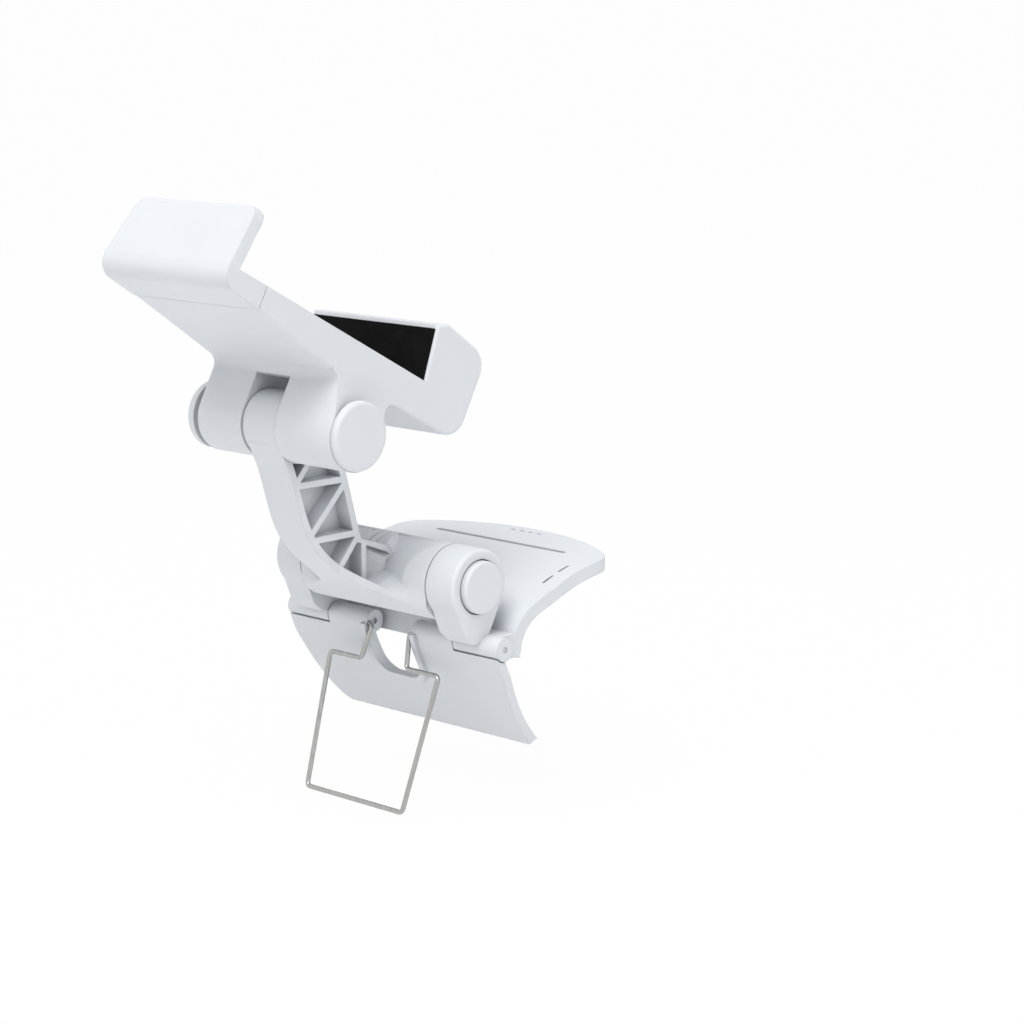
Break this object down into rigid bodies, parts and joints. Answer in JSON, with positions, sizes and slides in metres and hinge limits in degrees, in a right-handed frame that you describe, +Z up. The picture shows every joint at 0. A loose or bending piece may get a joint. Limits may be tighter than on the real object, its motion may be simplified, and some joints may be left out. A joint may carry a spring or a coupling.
{
  "type": "controller phone clip",
  "caption": "Phone clip for a game controller: sprung saddle, truss arm on two locking hinges, and a clamp with a sliding upper jaw; a wire stand hangs in front.",
  "frame": {"origin": "middle of the front hinge pin, at the front edge of the controller", "axes": "+X along the hinges to the holder's right hand in the picture's view, +Y towards the player, +Z up"},
  "size_m": [0.075, 0.1229, 0.152],
  "materials": {
    "white_plastic": "fine matte moulded surface",
    "ring_plastic": "smooth grey engineering plastic",
    "black_rubber": "matte",
    "steel": "ground",
    "bright_wire": "bright plated wire",
    "spring_steel": "drawn wire"
  },
  "bodies": {
    "saddle": {"saddle": "white_plastic", "saddle_pad": "black_rubber", "hinge_pins": "steel", "arm_axle": "steel", "pivot_cap": "white_plastic"},
    "arm_button": {"arm_button": "white_plastic"},
    "arm": {"arm": "white_plastic", "arm_spring": "spring_steel", "tilt_spring": "spring_steel"},
    "arm_gear": {"arm_gear": "ring_plastic"},
    "clamp": {"clamp_body": "white_plastic", "tilt_axle": "steel", "tilt_cap": "white_plastic", "clamp_cover": "white_plastic", "cover_screws": "steel", "back_pad": "black_rubber", "lower_jaw_pad": "black_rubber", "jaw_springs": "spring_steel"},
    "tilt_button": {"tilt_button": "white_plastic"},
    "tilt_gear": {"tilt_gear": "ring_plastic"},
    "sliding_jaw": {"sliding_jaw": "white_plastic", "upper_jaw_pad": "black_rubber"},
    "front_plate": {"front_plate": "white_plastic", "plate_pad": "black_rubber", "clip_springs": "spring_steel"},
    "wire_stand": {"wire_stand": "bright_wire"}
  },
  "joints": [
    {"name": "arm_tilt", "type": "hinge", "parent": "saddle", "child": "arm", "pos_m": [0, -0.0028, 0.0152], "axis": [1, 0, 0], "range_deg": [-45, 15]},
    {"name": "arm_button_press", "type": "slide", "parent": "saddle", "child": "arm_button", "axis": [-1, 0, 0], "range_m": [0, 0.0012], "stiffness_N_per_m": 300, "springref_m": -0.002},
    {"name": "arm_gear_slide", "type": "slide", "parent": "arm", "child": "arm_gear", "axis": [-1, 0, 0], "range_m": [0, 0.0012], "deforming": ["arm_spring"]},
    {"name": "clamp_tilt", "type": "hinge", "parent": "arm", "child": "clamp", "pos_m": [0, -0.0367, 0.0554], "axis": [1, 0, 0], "range_deg": [-35, 60]},
    {"name": "tilt_button_press", "type": "slide", "parent": "clamp", "child": "tilt_button", "axis": [1, 0, 0], "range_m": [0, 0.0012], "stiffness_N_per_m": 300, "springref_m": -0.002},
    {"name": "tilt_gear_slide", "type": "slide", "parent": "arm", "child": "tilt_gear", "axis": [1, 0, 0], "range_m": [0, 0.0012], "deforming": ["tilt_spring"]},
    {"name": "jaw_slide", "type": "slide", "parent": "clamp", "child": "sliding_jaw", "axis": [0, -0.8805, 0.4741], "range_m": [0, 0.022], "stiffness_N_per_m": 100, "springref_m": -0.02, "deforming": ["jaw_springs"]},
    {"name": "plate_open", "type": "hinge", "parent": "saddle", "child": "front_plate", "pos_m": [0, 0, 0], "axis": [1, 0, 0], "range_deg": [-30, 0], "stiffness_Nm_per_rad": 0.15, "springref_deg": 20.05, "deforming": ["clip_springs"]},
    {"name": "stand_swing", "type": "hinge", "parent": "front_plate", "child": "wire_stand", "pos_m": [0, -0.002, -0.0003], "axis": [1, 0, 0], "range_deg": [-50, 12]}
  ],
  "couplings": [
    {"joint": "arm_gear_slide", "follows": "arm_button_press", "ratio": 1},
    {"joint": "tilt_gear_slide", "follows": "tilt_button_press", "ratio": 1}
  ]
}
